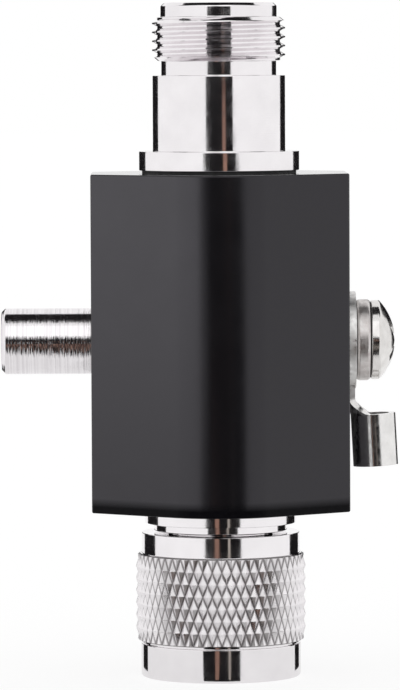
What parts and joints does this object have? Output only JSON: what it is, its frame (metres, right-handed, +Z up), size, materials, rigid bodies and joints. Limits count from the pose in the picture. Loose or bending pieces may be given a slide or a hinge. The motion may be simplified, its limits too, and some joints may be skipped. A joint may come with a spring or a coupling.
{
  "type": "coaxial lightning arrester",
  "caption": "Inline coaxial lightning arrester: black block between a threaded jack and a plug with a captive nut, with a screw cap over a gas tube and a ground screw and terminal.",
  "frame": {"origin": "centre of the coupling nut's mouth, on the coaxial axis", "axes": "+Z up along the coaxial axis from the nut's mouth to the jack, +X out of the flat with the ground screw, -X out of the flat with the screw cap, -Y towards the viewer of the picture"},
  "size_m": [0.0473, 0.032, 0.0804],
  "materials": {
    "black_anodised": "satin black anodised",
    "nickel_plate": "bright nickel plate over turned brass",
    "screw_plate": "bright plated steel",
    "tinned_sheet": "bright tinned sheet metal",
    "gold_plate": "gold plate",
    "spring_steel": "plain spring wire",
    "tube_electrode": "plated electrode",
    "tube_ceramic": "matt ceramic",
    "white_resin": "waxy white insulator",
    "dark_rubber": "matt black",
    "red_rubber": "matt red"
  },
  "bodies": {
    "housing": {"body_block": "black_anodised", "jack_shell": "nickel_plate", "jack_seal": "dark_rubber", "jack_insulator": "white_resin", "jack_contact": "gold_plate", "upper_bead": "white_resin", "centre_conductor": "gold_plate", "lower_bead": "white_resin", "plug_shell": "nickel_plate", "plug_sleeve": "nickel_plate", "plug_insulator": "white_resin", "plug_pin": "gold_plate", "plug_gasket": "red_rubber", "line_electrode": "tube_electrode", "gas_tube_ceramic": "tube_ceramic", "ground_electrode": "tube_electrode"},
    "nut_carrier": {"snap_ring": "spring_steel"},
    "nut": {"coupling_nut": "nickel_plate"},
    "cap_carrier": {"contact_spring": "spring_steel"},
    "cap": {"gas_tube_cap": "nickel_plate", "cap_seal": "dark_rubber"},
    "washer": {"lock_washer": "screw_plate"},
    "screw": {"ground_screw": "screw_plate"},
    "terminal": {"ring_terminal": "tinned_sheet"}
  },
  "joints": [
    {"name": "nut_float", "type": "slide", "parent": "housing", "child": "nut_carrier", "axis": [0, 0, 1], "range_m": [-0.0009, 0]},
    {"name": "nut_turn", "type": "hinge", "parent": "nut_carrier", "child": "nut", "pos_m": [0, 0, 0], "axis": [0, 0, 1], "continuous": true},
    {"name": "cap_travel", "type": "slide", "parent": "housing", "child": "cap_carrier", "axis": [-1, 0, 0], "range_m": [0, 0.005]},
    {"name": "cap_turn", "type": "hinge", "parent": "cap_carrier", "child": "cap", "pos_m": [0, 0, 0.04015], "axis": [-1, 0, 0], "range_deg": [0, 1801]},
    {"name": "screw_travel", "type": "slide", "parent": "housing", "child": "washer", "axis": [1, 0, 0], "range_m": [0, 0.0056]},
    {"name": "screw_turn", "type": "hinge", "parent": "washer", "child": "screw", "pos_m": [0, 0, 0.04015], "axis": [1, 0, 0], "range_deg": [0, 2521]},
    {"name": "terminal_swivel", "type": "hinge", "parent": "housing", "child": "terminal", "pos_m": [0, 0, 0.04015], "axis": [1, 0, 0], "continuous": true}
  ],
  "couplings": [
    {"joint": "cap_turn", "follows": "cap_travel", "rad_per_m": 6283.2},
    {"joint": "screw_turn", "follows": "screw_travel", "rad_per_m": 7854}
  ]
}
